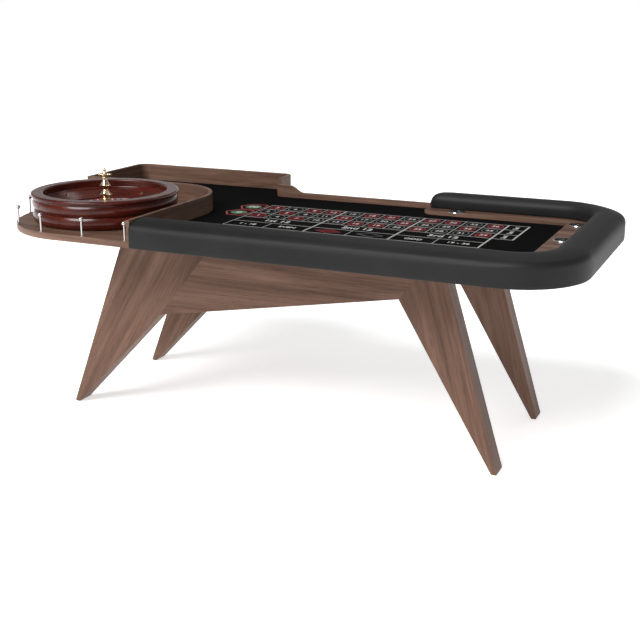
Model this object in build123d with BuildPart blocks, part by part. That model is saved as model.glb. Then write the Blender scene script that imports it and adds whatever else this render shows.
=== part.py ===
from build123d import *
import math
import os

os.makedirs("parts", exist_ok=True)

# Roulette table, millimetres. X runs along the table, the wheel is at -X. The players stand at -Y and
# the dealer's recess is at +Y. The origin is on the floor, under the middle of the table top.

# Overall size of the top
HALF_LENGTH = 1237.5
HALF_WIDTH = 647.5
DECK_BOTTOM = 808.0
DECK_TOP = 834.0
FELT = 4.0
WALL = 16.0
WALL_TOP = 915.0

# Joint between the two panels of the deck
DECK_JOINT_X = -290.0

# Wheel and the round end of the deck that carries it
WHEEL_X = -810.0
WHEEL_Y = -271.0
WHEEL_R = 305.0
TRAY_R = 368.0
TRAY_JOIN_Y = 60.0

# Walls round the wheel, the strip behind it and the dealer's recess
DIVIDER_X = -450.0
DIVIDER_FRONT_Y = -634.0
DIVIDER_BACK_Y = 200.0
DIVIDER_CORNER_R = 280.0
GUARD_CORNER_R = 50.0
RECESS_LEFT_X = -375.0
RECESS_RIGHT_X = 380.0
RECESS_Y = 471.0
RECESS_CORNER_R = 36.0
SHOULDER_TOP = 892.0
LIP_TOP = 862.0
SHOULDER_X = -312.0
LIP_X = -235.0

# Padded rail, measured inwards from its outer face
RAIL_BACK_Y = 535.0
RAIL_TOP = 914.0
RAIL_WIDTH = 130.0
RAIL_CREST_IN = 98.0
RAIL_CROWN_R = 260.0
RAIL_FRONT_R = 265.0
RAIL_BACK_R = 280.0
RAIL_PAD = 12.0
RAIL_SEAT = 48.0
CORE_INNER = 120.0
CORE_TOP = 868.0
CORE_BOTTOM = 812.0
RAIL_ROUND = 26.0

# Wooden ledge inside the rail
LEDGE_TOP = 851.0
LEDGE_FRONT_Y = -430.0
LEDGE_RIGHT_X = 1004.0
LEDGE_BACK_Y = 326.0
LEDGE_END_R = 50.0

# Drop-in cup holders
CUP_R = 33.0
CUP_FLANGE_R = 37.0
CUP_FLANGE = 2.5
CUP_WALL = 1.2
CUP_DEPTH = 42.0
CUP_PLACES = [(525, 366), (1050, 295), (1055, -8), (1046, -420), (620, -474), (120, -474), (-330, -474)]

# Gallery posts round the open edge of the deck
POST_INSET = 8.0
POST_R = 3.5
POST_BALL_R = 9.0
POST_BALL_Z = 67.0
POST_COLLAR_R = 7.0
POST_COLLAR = 3.0
POST_STRAIGHT = [335.0, 137.0]
POST_ARC = [-100.0, -134.7, -171.0]
POST_LEFT_Y = [-95.0, 105.0]

# Two panel trestles
PANEL = 76.0
FRONT_PANEL_Y = -331.0
REAR_PANEL_Y = 288.0
FOOT_GAP = 2.0
FOOT_ROUND = 6.0
LEFT_OUTER_TOP = (-678.0, DECK_BOTTOM)
LEFT_OUTER_FOOT = (-992.0, FOOT_GAP)
LEFT_INNER_FOOT = (-968.0, FOOT_GAP)
LEFT_CROTCH = (-529.0, 454.0)
LEFT_JOINT_TOP = (-240.0, DECK_BOTTOM)
RIGHT_CROTCH = (526.0, 641.0)
RIGHT_JOINT_TOP = (655.0, DECK_BOTTOM)
RIGHT_OUTER_TOP = (689.0, DECK_BOTTOM)
RIGHT_OUTER_FOOT = (934.0, FOOT_GAP)
RIGHT_INNER_FOOT = (910.0, FOOT_GAP)

# Cross rails, their brackets and screws, and the glides
CROSS_X = {"left": -470.0, "centre": 20.0, "right": 500.0}
CROSS_THICK = 44.0
CROSS_DEPTH = 105.0
BRACKET = 60.0
BRACKET_THICK = 4.0
BRACKET_WIDTH = 36.0
SCREW_R = 2.5
SCREW_HEAD_R = 5.0
SCREW_LENGTH = 22.0
GLIDE_R = 6.0
GLIDE_SINK = 4.0
GLIDE_X = {"left": -976.9, "right": 919.7}
GLIDE_INSET = 18.0

# Rotor of the wheel, heights above the deck
POCKETS = 38
ROTOR_R = 189.0
ROTOR_CLEARANCE = 3.0
POCKET_OUTER_R = 164.5
POCKET_INNER_R = 137.0
POCKET_FLOOR = 28.0
FRET_TOP = 38.0
FRET_THICK = 1.6
SPINDLE_R = 6.0
BEARING_PLAY = 0.05
BEARING_R = 16.0
BALL_R = 8.0
BALL_ORBIT_R = 246.4
BALL_Z = 93.2
BALL_ANGLE = -63.0
DEFLECTORS = 8
DEFLECTOR_ORBIT_R = 224.0
DEFLECTOR_START = 37.0

WHEEL_PLANE = Plane(origin=(WHEEL_X, WHEEL_Y, DECK_TOP), x_dir=(1, 0, 0), z_dir=(0, -1, 0))
WHEEL_AXIS = Axis((WHEEL_X, WHEEL_Y, 0), (0, 0, 1))


def save(piece, name):
    """Label a finished piece and write its STEP file."""
    piece.part.label = name
    export_step(piece.part, "parts/" + name + ".step")


def outline(points):
    """Draw a closed outline of straight lines in the sketch that is open."""
    Polygon(*points, align=None)


def rail_path(offset, left_x, right_x):
    """Draw the U of the rail, a distance in from its outer face, from front left to back left."""
    front = -HALF_WIDTH + offset
    side = HALF_LENGTH - offset
    back = RAIL_BACK_Y - offset
    front_r = RAIL_FRONT_R - offset
    back_r = RAIL_BACK_R - offset
    Line((left_x, front), (side - front_r, front))
    CenterArc((side - front_r, front + front_r), front_r, -90, 90)
    Line((side, front + front_r), (side, back - back_r))
    CenterArc((side - back_r, back - back_r), back_r, 0, 90)
    Line((side - back_r, back), (right_x, back))


def tray_join_angle():
    """Angle where the round end of the deck meets its straight left side without a kink."""
    run = -HALF_LENGTH - WHEEL_X
    rise = TRAY_JOIN_Y - WHEEL_Y
    reach = math.hypot(run, rise)
    return math.degrees(math.atan2(rise, run) + math.acos(TRAY_R / reach))


def tray_edge(inset):
    """Draw the open edge of the deck, from the divider round the wheel to the left guard."""
    join = tray_join_angle()
    radius = TRAY_R - inset
    joint = (WHEEL_X + radius * math.cos(math.radians(join)), WHEEL_Y + radius * math.sin(math.radians(join)))
    Line((DIVIDER_X, WHEEL_Y - radius), (WHEEL_X, WHEEL_Y - radius))
    CenterArc((WHEEL_X, WHEEL_Y), radius, 270, join - 270)
    Line(joint, (-HALF_LENGTH + inset, TRAY_JOIN_Y))


def guard_edge(inset):
    """Draw the face of the guard wall, a distance in from its outside, from left to recess."""
    r = GUARD_CORNER_R
    Line((-HALF_LENGTH + inset, DIVIDER_BACK_Y - WALL), (-HALF_LENGTH + inset, HALF_WIDTH - r))
    CenterArc((-HALF_LENGTH + r, HALF_WIDTH - r), r - inset, 180, -90)
    Line((-HALF_LENGTH + r, HALF_WIDTH - inset), (RECESS_LEFT_X - r, HALF_WIDTH - inset))
    CenterArc((RECESS_LEFT_X - r, HALF_WIDTH - r), r - inset, 90, -90)
    Line((RECESS_LEFT_X - inset, HALF_WIDTH - r), (RECESS_LEFT_X - inset, RECESS_Y + RECESS_CORNER_R))


def recess_edge(inset, right_x):
    """Draw the face of the recess wall, a distance in from the dealer's side."""
    r = RECESS_CORNER_R
    CenterArc((RECESS_LEFT_X + r, RECESS_Y + r), r + inset, 180, 90)
    Line((RECESS_LEFT_X + r, RECESS_Y - inset), (right_x, RECESS_Y - inset))


# ---- table top -------------------------------------------------------------------------------------

def cup_holes(radius):
    """Cut the holes that the cup holders drop into."""
    with Locations(*[(x, y, LEDGE_TOP) for x, y in CUP_PLACES]):
        Hole(radius)


with BuildPart() as deck_left:
    with BuildSketch(Plane.XY.offset(DECK_BOTTOM)):
        with BuildLine():
            tray_edge(0)
            Line((-HALF_LENGTH, TRAY_JOIN_Y), (-HALF_LENGTH, DIVIDER_BACK_Y - WALL))
            guard_edge(0)
            recess_edge(0, DECK_JOINT_X)
            Line((DECK_JOINT_X, RECESS_Y), (DECK_JOINT_X, RAIL_SEAT - HALF_WIDTH))
            Line((DECK_JOINT_X, RAIL_SEAT - HALF_WIDTH), (DIVIDER_X, RAIL_SEAT - HALF_WIDTH))
            Line((DIVIDER_X, RAIL_SEAT - HALF_WIDTH), (DIVIDER_X, WHEEL_Y - TRAY_R))
        make_face()
    extrude(amount=DECK_TOP - DECK_BOTTOM)
    tray_edges = deck_left.faces().sort_by(Axis.Z)[-1].edges().filter_by(
        lambda e: e.center().X < DIVIDER_X - 1 and e.center().Y < TRAY_JOIN_Y)
    fillet(tray_edges, 2.0)
    cup_holes(CUP_R + 0.5)
save(deck_left, "deck_left")

with BuildPart() as deck_right:
    with BuildSketch(Plane.XY.offset(DECK_BOTTOM)):
        with BuildLine():
            Line((DECK_JOINT_X, RAIL_SEAT - HALF_WIDTH), (DECK_JOINT_X, RECESS_Y))
            Line((DECK_JOINT_X, RECESS_Y), (RECESS_RIGHT_X, RECESS_Y))
            Line((RECESS_RIGHT_X, RECESS_Y), (RECESS_RIGHT_X, RAIL_BACK_Y - RAIL_SEAT))
            rail_path(RAIL_SEAT, DECK_JOINT_X, RECESS_RIGHT_X)
        make_face()
    extrude(amount=DECK_TOP - DECK_BOTTOM)
    cup_holes(CUP_R + 0.5)
save(deck_right, "deck_right")

with BuildPart() as divider_wall:
    inner_r = DIVIDER_CORNER_R - WALL
    corner_x = DIVIDER_X - DIVIDER_CORNER_R
    corner_y = DIVIDER_BACK_Y - DIVIDER_CORNER_R
    left_x = -HALF_LENGTH + WALL
    with BuildSketch(Plane.XY.offset(DECK_TOP)):
        with BuildLine():
            Line((DIVIDER_X, DIVIDER_FRONT_Y), (DIVIDER_X, corner_y))
            CenterArc((corner_x, corner_y), DIVIDER_CORNER_R, 0, 90)
            Line((corner_x, DIVIDER_BACK_Y), (left_x, DIVIDER_BACK_Y))
            Line((left_x, DIVIDER_BACK_Y), (left_x, DIVIDER_BACK_Y - WALL))
            Line((left_x, DIVIDER_BACK_Y - WALL), (corner_x, DIVIDER_BACK_Y - WALL))
            CenterArc((corner_x, corner_y), inner_r, 90, -90)
            Line((DIVIDER_X - WALL, corner_y), (DIVIDER_X - WALL, DIVIDER_FRONT_Y))
            Line((DIVIDER_X - WALL, DIVIDER_FRONT_Y), (DIVIDER_X, DIVIDER_FRONT_Y))
        make_face()
    extrude(amount=WALL_TOP - DECK_TOP)
    fillet(divider_wall.faces().sort_by(Axis.Z)[-1].edges(), 2.5)
save(divider_wall, "divider_wall")

with BuildPart() as guard_wall:
    end_y = RECESS_Y + RECESS_CORNER_R
    with BuildSketch(Plane.XY.offset(DECK_TOP)):
        with BuildLine():
            guard_edge(0)
            Line((RECESS_LEFT_X, end_y), (RECESS_LEFT_X - WALL, end_y))
            guard_edge(WALL)
            Line((-HALF_LENGTH + WALL, DIVIDER_BACK_Y - WALL), (-HALF_LENGTH, DIVIDER_BACK_Y - WALL))
        make_face()
    extrude(amount=WALL_TOP - DECK_TOP)
    fillet(guard_wall.faces().sort_by(Axis.Z)[-1].edges(), 2.5)
save(guard_wall, "guard_wall")

with BuildPart() as recess_wall:
    end_y = RECESS_Y + RECESS_CORNER_R
    with BuildSketch(Plane.XY.offset(DECK_TOP)):
        with BuildLine():
            recess_edge(0, RECESS_RIGHT_X)
            Line((RECESS_RIGHT_X, RECESS_Y), (RECESS_RIGHT_X, RECESS_Y - WALL))
            recess_edge(WALL, RECESS_RIGHT_X)
            Line((RECESS_LEFT_X - WALL, end_y), (RECESS_LEFT_X, end_y))
        make_face()
    extrude(amount=SHOULDER_TOP - DECK_TOP)
    with BuildSketch(Plane.XZ.offset(-end_y)):
        with BuildLine():
            Spline((SHOULDER_X, SHOULDER_TOP), (LIP_X, LIP_TOP), tangents=[(1, 0), (1, 0)])
            Line((LIP_X, LIP_TOP), (RECESS_RIGHT_X + 1, LIP_TOP))
            Line((RECESS_RIGHT_X + 1, LIP_TOP), (RECESS_RIGHT_X + 1, WALL_TOP))
            Line((RECESS_RIGHT_X + 1, WALL_TOP), (SHOULDER_X, WALL_TOP))
            Line((SHOULDER_X, WALL_TOP), (SHOULDER_X, SHOULDER_TOP))
        make_face()
    extrude(amount=2 * WALL + RECESS_CORNER_R, mode=Mode.SUBTRACT)
save(recess_wall, "recess_wall")

with BuildPart() as felt_layout:
    gap = 0.2
    left_x = -HALF_LENGTH + WALL + gap
    corner_x = DIVIDER_X - DIVIDER_CORNER_R
    corner_y = DIVIDER_BACK_Y - DIVIDER_CORNER_R
    back_y = HALF_WIDTH - WALL - gap
    step_x = RECESS_LEFT_X - WALL - gap
    step_r = RECESS_CORNER_R + WALL + gap
    step_y = RECESS_Y + RECESS_CORNER_R
    end_x = RECESS_RIGHT_X - gap
    lip_y = RECESS_Y - WALL - gap
    right_x = LEDGE_RIGHT_X - gap
    with BuildSketch(Plane.XY.offset(DECK_TOP)):
        with BuildLine():
            Line((DIVIDER_X + gap, LEDGE_FRONT_Y + gap), (DIVIDER_X + gap, corner_y))
            CenterArc((corner_x, corner_y), DIVIDER_CORNER_R + gap, 0, 90)
            Line((corner_x, DIVIDER_BACK_Y + gap), (left_x, DIVIDER_BACK_Y + gap))
            Line((left_x, DIVIDER_BACK_Y + gap), (left_x, HALF_WIDTH - GUARD_CORNER_R))
            CenterArc((-HALF_LENGTH + GUARD_CORNER_R, HALF_WIDTH - GUARD_CORNER_R),
                      GUARD_CORNER_R - WALL - gap, 180, -90)
            Line((-HALF_LENGTH + GUARD_CORNER_R, back_y), (RECESS_LEFT_X - GUARD_CORNER_R, back_y))
            CenterArc((RECESS_LEFT_X - GUARD_CORNER_R, HALF_WIDTH - GUARD_CORNER_R),
                      GUARD_CORNER_R - WALL - gap, 90, -90)
            Line((step_x, HALF_WIDTH - GUARD_CORNER_R), (step_x, step_y))
            CenterArc((RECESS_LEFT_X + RECESS_CORNER_R, step_y), step_r, 180, 90)
            Line((RECESS_LEFT_X + RECESS_CORNER_R, lip_y), (end_x, lip_y))
            Line((end_x, lip_y), (end_x, LEDGE_BACK_Y + LEDGE_END_R))
            CenterArc((RECESS_RIGHT_X + LEDGE_END_R, LEDGE_BACK_Y + LEDGE_END_R), LEDGE_END_R + gap, 180, 90)
            Line((RECESS_RIGHT_X + LEDGE_END_R, LEDGE_BACK_Y - gap), (right_x, LEDGE_BACK_Y - gap))
            Line((right_x, LEDGE_BACK_Y - gap), (right_x, LEDGE_FRONT_Y + gap))
            Line((right_x, LEDGE_FRONT_Y + gap), (DIVIDER_X + gap, LEDGE_FRONT_Y + gap))
        make_face()
    extrude(amount=FELT)
save(felt_layout, "felt_layout")

def ledge_edge():
    """Draw the outline of the whole ledge, from front left round the end to the recess."""
    back = RAIL_BACK_Y - CORE_INNER
    round_x = RECESS_RIGHT_X + LEDGE_END_R
    rail_path(CORE_INNER, DIVIDER_X, RECESS_RIGHT_X)
    Line((RECESS_RIGHT_X, back), (RECESS_RIGHT_X, LEDGE_BACK_Y + LEDGE_END_R))
    CenterArc((round_x, LEDGE_BACK_Y + LEDGE_END_R), LEDGE_END_R, 180, 90)
    Line((round_x, LEDGE_BACK_Y), (LEDGE_RIGHT_X, LEDGE_BACK_Y))
    Line((LEDGE_RIGHT_X, LEDGE_BACK_Y), (LEDGE_RIGHT_X, LEDGE_FRONT_Y))
    Line((LEDGE_RIGHT_X, LEDGE_FRONT_Y), (DIVIDER_X, LEDGE_FRONT_Y))
    Line((DIVIDER_X, LEDGE_FRONT_Y), (DIVIDER_X, CORE_INNER - HALF_WIDTH))


with BuildPart() as ledge_front:
    with BuildSketch(Plane.XY.offset(DECK_TOP)):
        with BuildLine():
            ledge_edge()
        make_face()
    extrude(amount=LEDGE_TOP - DECK_TOP)
    split(bisect_by=Plane.YZ.offset(LEDGE_RIGHT_X), keep=Keep.BOTTOM)
    split(bisect_by=Plane.XZ, keep=Keep.TOP)
    cup_holes(CUP_R + 0.5)
save(ledge_front, "ledge_front")

with BuildPart() as ledge_end:
    with BuildSketch(Plane.XY.offset(DECK_TOP)):
        with BuildLine():
            ledge_edge()
        make_face()
    extrude(amount=LEDGE_TOP - DECK_TOP)
    split(bisect_by=Plane.YZ.offset(LEDGE_RIGHT_X), keep=Keep.TOP)
    cup_holes(CUP_R + 0.5)
save(ledge_end, "ledge_end")

with BuildPart() as ledge_back:
    with BuildSketch(Plane.XY.offset(DECK_TOP)):
        with BuildLine():
            ledge_edge()
        make_face()
    extrude(amount=LEDGE_TOP - DECK_TOP)
    split(bisect_by=Plane.YZ.offset(LEDGE_RIGHT_X), keep=Keep.BOTTOM)
    split(bisect_by=Plane.XZ, keep=Keep.BOTTOM)
    cup_holes(CUP_R + 0.5)
save(ledge_back, "ledge_back")

with BuildPart() as rail_core:
    with BuildLine() as core_path:
        rail_path(0, DIVIDER_X + 0.5, RECESS_RIGHT_X + 12)
    with BuildSketch(Plane(origin=core_path.line @ 0, x_dir=(0, 1, 0), z_dir=(-1, 0, 0))):
        # the section plane's second direction points down, so heights are negative
        outline([(RAIL_PAD, -CORE_BOTTOM), (RAIL_SEAT, -CORE_BOTTOM), (RAIL_SEAT, -DECK_TOP),
                 (CORE_INNER, -DECK_TOP), (CORE_INNER, -CORE_TOP), (RAIL_PAD, -CORE_TOP)])
    sweep(path=core_path.line)
save(rail_core, "rail_core")

with BuildPart() as rail_pad:
    with BuildLine() as pad_path:
        rail_path(0, DIVIDER_X + 0.5, RECESS_RIGHT_X + 1)
    skin = 0.3
    with BuildSketch(Plane(origin=pad_path.line @ 0, x_dir=(0, 1, 0), z_dir=(-1, 0, 0))):
        with BuildLine():
            lean = math.asin((RAIL_CREST_IN - RAIL_ROUND) / (RAIL_CROWN_R - RAIL_ROUND))
            crown_z = RAIL_TOP - RAIL_CROWN_R
            outer_z = crown_z + (RAIL_CROWN_R - RAIL_ROUND) * math.cos(lean)
            inner_r = RAIL_WIDTH - RAIL_CREST_IN
            inner_z = RAIL_TOP - inner_r
            Line((0, -DECK_BOTTOM), (0, -outer_z))
            CenterArc((RAIL_ROUND, -outer_z), RAIL_ROUND, 180, 90 - math.degrees(lean))
            CenterArc((RAIL_CREST_IN, -crown_z), RAIL_CROWN_R, 270 - math.degrees(lean), math.degrees(lean))
            CenterArc((RAIL_CREST_IN, -inner_z), inner_r, 270, 90)
            Polyline((RAIL_WIDTH, -inner_z), (RAIL_WIDTH, -LEDGE_TOP - skin), (CORE_INNER + skin, -LEDGE_TOP - skin),
                     (CORE_INNER + skin, -CORE_TOP - skin), (RAIL_PAD - skin, -CORE_TOP - skin),
                     (RAIL_PAD - skin, -DECK_BOTTOM), (0, -DECK_BOTTOM))
        make_face()
    sweep(path=pad_path.line)
save(rail_pad, "rail_pad")

for number, (x, y) in enumerate(CUP_PLACES, 1):
    with BuildPart() as cup_holder:
        with BuildSketch(Plane(origin=(x, y, LEDGE_TOP), x_dir=(1, 0, 0), z_dir=(0, -1, 0))):
            outline([(0, -CUP_DEPTH), (CUP_R, -CUP_DEPTH), (CUP_R, 0), (CUP_FLANGE_R, 0),
                     (CUP_FLANGE_R - 1.0, CUP_FLANGE), (CUP_R - CUP_WALL, CUP_FLANGE),
                     (CUP_R - CUP_WALL, CUP_WALL - CUP_DEPTH), (0, CUP_WALL - CUP_DEPTH)])
        revolve(axis=Axis((x, y, 0), (0, 0, 1)))
    save(cup_holder, "cup_holder_" + str(number))

# ---- gallery posts ---------------------------------------------------------------------------------

post_r = TRAY_R - POST_INSET
post_places = [(WHEEL_X + run, WHEEL_Y - post_r) for run in POST_STRAIGHT]
for angle in POST_ARC:
    turn = math.radians(angle)
    post_places.append((WHEEL_X + post_r * math.cos(turn), WHEEL_Y + post_r * math.sin(turn)))
join_turn = math.radians(tray_join_angle())
join_x = WHEEL_X + TRAY_R * math.cos(join_turn)
join_y = WHEEL_Y + TRAY_R * math.sin(join_turn)
for y in POST_LEFT_Y:
    along = min(1.0, (y - join_y) / (TRAY_JOIN_Y - join_y))
    post_places.append((join_x + along * (-HALF_LENGTH - join_x) + POST_INSET, y))

for number, (x, y) in enumerate(post_places, 1):
    with BuildPart() as gallery_post:
        with BuildSketch(Plane(origin=(x, y, DECK_TOP), x_dir=(1, 0, 0), z_dir=(0, -1, 0))):
            outline([(0, 0), (POST_COLLAR_R, 0), (POST_COLLAR_R, POST_COLLAR - 1), (POST_COLLAR_R - 1, POST_COLLAR),
                     (POST_R, POST_COLLAR), (POST_R, POST_BALL_Z), (0, POST_BALL_Z)])
        revolve(axis=Axis((x, y, 0), (0, 0, 1)))
        with Locations((x, y, DECK_TOP + POST_BALL_Z)):
            Sphere(POST_BALL_R)
    save(gallery_post, "gallery_post_" + str(number))

# ---- trestles --------------------------------------------------------------------------------------

TRESTLES = {"front": FRONT_PANEL_Y, "rear": REAR_PANEL_Y}
LEG_SHAPES = {
    "left_leg": [LEFT_OUTER_TOP, LEFT_OUTER_FOOT, LEFT_INNER_FOOT, LEFT_CROTCH, LEFT_JOINT_TOP],
    "right_leg": [RIGHT_OUTER_TOP, RIGHT_JOINT_TOP, RIGHT_CROTCH, RIGHT_INNER_FOOT, RIGHT_OUTER_FOOT],
}

for side, face_y in TRESTLES.items():
    panel_plane = Plane(origin=(0, face_y + PANEL, 0), x_dir=(1, 0, 0), z_dir=(0, -1, 0))
    for leg, shape in LEG_SHAPES.items():
        glide_x = GLIDE_X[leg.split("_")[0]]
        with BuildPart() as trestle_leg:
            with BuildSketch(panel_plane) as leg_face:
                outline(shape)
                fillet(leg_face.vertices().group_by(Axis.Z)[0], FOOT_ROUND)
            extrude(amount=PANEL)
            with Locations((glide_x, face_y + GLIDE_INSET, FOOT_GAP), (glide_x, face_y + PANEL - GLIDE_INSET, FOOT_GAP)):
                Cylinder(GLIDE_R, 2 * GLIDE_SINK, mode=Mode.SUBTRACT)
        save(trestle_leg, side + "_" + leg)
    with BuildPart() as apron:
        with BuildSketch(panel_plane):
            outline([LEFT_CROTCH, RIGHT_CROTCH, RIGHT_JOINT_TOP, LEFT_JOINT_TOP])
        extrude(amount=PANEL)
    save(apron, side + "_apron")

with BuildPart() as foot_glides:
    for glide_x in GLIDE_X.values():
        for face_y in TRESTLES.values():
            for glide_y in (face_y + GLIDE_INSET, face_y + PANEL - GLIDE_INSET):
                with Locations((glide_x, glide_y, 0)):
                    Cylinder(GLIDE_R, FOOT_GAP + GLIDE_SINK, align=(Align.CENTER, Align.CENTER, Align.MIN))
save(foot_glides, "foot_glides")

cross_start = FRONT_PANEL_Y + PANEL
cross_end = REAR_PANEL_Y
for place, x in CROSS_X.items():
    with BuildPart() as cross_rail:
        with Locations((x, (cross_start + cross_end) / 2, DECK_BOTTOM - CROSS_DEPTH / 2)):
            Box(CROSS_THICK, cross_end - cross_start, CROSS_DEPTH)
        fillet(cross_rail.edges().filter_by(Axis.Y).group_by(Axis.Z)[0], 3.0)
    save(cross_rail, "cross_rail_" + place)

bracket_z = DECK_BOTTOM - CROSS_DEPTH / 2
with BuildPart() as rail_brackets:
    for x in CROSS_X.values():
        face_x = x + CROSS_THICK / 2
        for wall_y, way in ((cross_start, 1), (cross_end, -1)):
            with BuildSketch(Plane.XY.offset(bracket_z - BRACKET_WIDTH / 2)):
                outline([(face_x, wall_y), (face_x + BRACKET, wall_y), (face_x + BRACKET, wall_y + way * BRACKET_THICK),
                         (face_x + BRACKET_THICK, wall_y + way * BRACKET_THICK),
                         (face_x + BRACKET_THICK, wall_y + way * BRACKET), (face_x, wall_y + way * BRACKET)])
            extrude(amount=BRACKET_WIDTH)
save(rail_brackets, "rail_brackets")

with BuildPart() as bracket_screws:
    for x in CROSS_X.values():
        for wall_y, way in ((cross_start, 1), (cross_end, -1)):
            seat_x = x + CROSS_THICK / 2 + BRACKET_THICK
            seat_y = wall_y + way * BRACKET_THICK
            for reach in (18, 46):
                into_rail = Plane(origin=(seat_x, wall_y + way * reach, bracket_z), z_dir=(1, 0, 0))
                into_panel = Plane(origin=(x + CROSS_THICK / 2 + reach, seat_y, bracket_z), z_dir=(0, way, 0))
                for seat in (into_rail, into_panel):
                    with BuildSketch(seat):
                        Circle(SCREW_HEAD_R)
                    extrude(amount=2.4, taper=30)
save(bracket_screws, "bracket_screws")

# ---- wheel: the part that stands on the deck -------------------------------------------------------

with BuildPart() as wheel_bowl:
    with BuildSketch(WHEEL_PLANE):
        with BuildLine():
            Line((286, 14), (286, 3))
            Line((286, 3), (294, 3))
            # lower and upper convex mouldings with a groove between them
            ThreePointArc((294, 3), (301, 26), (294, 49))
            Line((294, 49), (290, 52))
            Line((290, 52), (294, 55))
            ThreePointArc((294, 55), (301, 76), (295, 96))
            Line((295, 96), (295, 100))
            Line((295, 100), (301, 102))
            ThreePointArc((301, 102), (WHEEL_R, 106), (WHEEL_R, 111))
            ThreePointArc((WHEEL_R, 111), (303, 116), (298, 118))
            Line((298, 118), (262, 118))
            ThreePointArc((262, 118), (256.5, 116), (255, 111))
            Line((255, 111), (255, 90))
            ThreePointArc((255, 90), (254, 86.6), (251, 84))
            Line((251, 84), (202, 56))
            ThreePointArc((202, 56), (197, 52.8), (ROTOR_R + ROTOR_CLEARANCE, 51))
            Line((ROTOR_R + ROTOR_CLEARANCE, 51), (ROTOR_R + ROTOR_CLEARANCE, 14))
            Line((ROTOR_R + ROTOR_CLEARANCE, 14), (286, 14))
        make_face()
    revolve(axis=WHEEL_AXIS)
save(wheel_bowl, "wheel_bowl")

with BuildPart() as base_plate:
    with BuildSketch(WHEEL_PLANE):
        outline([(0, 4), (285.5, 4), (285.5, 14), (0, 14)])
    revolve(axis=WHEEL_AXIS)
save(base_plate, "wheel_base_plate")

with BuildPart() as wheel_pads:
    with Locations((WHEEL_X, WHEEL_Y, DECK_TOP + 0.2)):
        with PolarLocations(230, 3, start_angle=90):
            Cylinder(16, 3.8, align=(Align.CENTER, Align.CENTER, Align.MIN))
save(wheel_pads, "wheel_pads")

with BuildPart() as spindle:
    with BuildSketch(WHEEL_PLANE):
        outline([(0, 14), (22, 14), (22, 18), (9, 19), (9, 23.5), (SPINDLE_R, 23.5), (SPINDLE_R, 62), (0, 62)])
    revolve(axis=WHEEL_AXIS)
save(spindle, "spindle")

with BuildPart() as spindle_nut:
    with BuildSketch(WHEEL_PLANE):
        outline([(SPINDLE_R, 57), (10, 57), (10, 60.5), (9.5, 61), (SPINDLE_R, 61)])
    revolve(axis=WHEEL_AXIS)
save(spindle_nut, "spindle_nut")

with BuildPart() as ball_deflectors:
    slope = math.degrees(math.atan2(28, 49))
    slope_z = DECK_TOP + 56.3 + (DEFLECTOR_ORBIT_R - 202) * 28 / 49
    for number in range(DEFLECTORS):
        angle = DEFLECTOR_START + number * 360 / DEFLECTORS
        turn = math.radians(angle)
        spot = (WHEEL_X + DEFLECTOR_ORBIT_R * math.cos(turn), WHEEL_Y + DEFLECTOR_ORBIT_R * math.sin(turn), slope_z)
        uphill = (math.cos(turn) * math.cos(math.radians(slope)), math.sin(turn) * math.cos(math.radians(slope)),
                  math.sin(math.radians(slope)))
        normal = (-math.cos(turn) * math.sin(math.radians(slope)), -math.sin(turn) * math.sin(math.radians(slope)),
                  math.cos(math.radians(slope)))
        long_half, short_half = (15, 5) if number % 2 else (5, 15)
        with BuildSketch(Plane(origin=spot, x_dir=uphill, z_dir=normal)):
            outline([(long_half, 0), (0, short_half), (-long_half, 0), (0, -short_half)])
        extrude(amount=5, taper=35)
save(ball_deflectors, "ball_deflectors")

# ---- wheel: the rotor ------------------------------------------------------------------------------

with BuildPart() as rotor_pan:
    with BuildSketch(WHEEL_PLANE):
        outline([(18, 20), (ROTOR_R, 20), (ROTOR_R, 48), (ROTOR_R - 2.5, 48), (ROTOR_R - 2.5, 23), (18, 23)])
    revolve(axis=WHEEL_AXIS)
save(rotor_pan, "rotor_pan")

with BuildPart() as pocket_ring:
    with BuildSketch(WHEEL_PLANE):
        outline([(POCKET_INNER_R, 23), (POCKET_OUTER_R, 23), (POCKET_OUTER_R, POCKET_FLOOR),
                 (POCKET_INNER_R, POCKET_FLOOR)])
    revolve(axis=WHEEL_AXIS)
save(pocket_ring, "pocket_ring")

with BuildPart() as fret_ring:
    with BuildSketch(WHEEL_PLANE):
        outline([(POCKET_INNER_R, POCKET_FLOOR), (POCKET_INNER_R + 1.5, POCKET_FLOOR),
                 (POCKET_INNER_R + 1.5, FRET_TOP + 2), (POCKET_INNER_R, FRET_TOP + 2)])
        outline([(POCKET_OUTER_R - 1.5, POCKET_FLOOR), (POCKET_OUTER_R, POCKET_FLOOR),
                 (POCKET_OUTER_R, FRET_TOP), (POCKET_OUTER_R - 1.5, FRET_TOP)])
    revolve(axis=WHEEL_AXIS)
    middle = (POCKET_INNER_R + POCKET_OUTER_R) / 2
    with Locations((WHEEL_X, WHEEL_Y, DECK_TOP + POCKET_FLOOR)):
        with PolarLocations(middle, POCKETS):
            Box(POCKET_OUTER_R - POCKET_INNER_R - 1, FRET_THICK, FRET_TOP - POCKET_FLOOR,
                align=(Align.CENTER, Align.CENTER, Align.MIN))
save(fret_ring, "fret_ring")

with BuildPart() as number_ring:
    with BuildSketch(WHEEL_PLANE):
        outline([(POCKET_OUTER_R, 23), (ROTOR_R - 2.5, 23), (ROTOR_R - 2.5, 47), (POCKET_OUTER_R, 39)])
    revolve(axis=WHEEL_AXIS)
save(number_ring, "number_ring")

with BuildPart() as rotor_cone:
    with BuildSketch(WHEEL_PLANE):
        with BuildLine():
            Polyline((26, 64), (18, 64), (18, 23), (POCKET_INNER_R, 23), (POCKET_INNER_R, 41))
            ThreePointArc((POCKET_INNER_R, 41), (84, 51), (26, 64))
        make_face()
    revolve(axis=WHEEL_AXIS)
save(rotor_cone, "rotor_cone")

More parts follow.
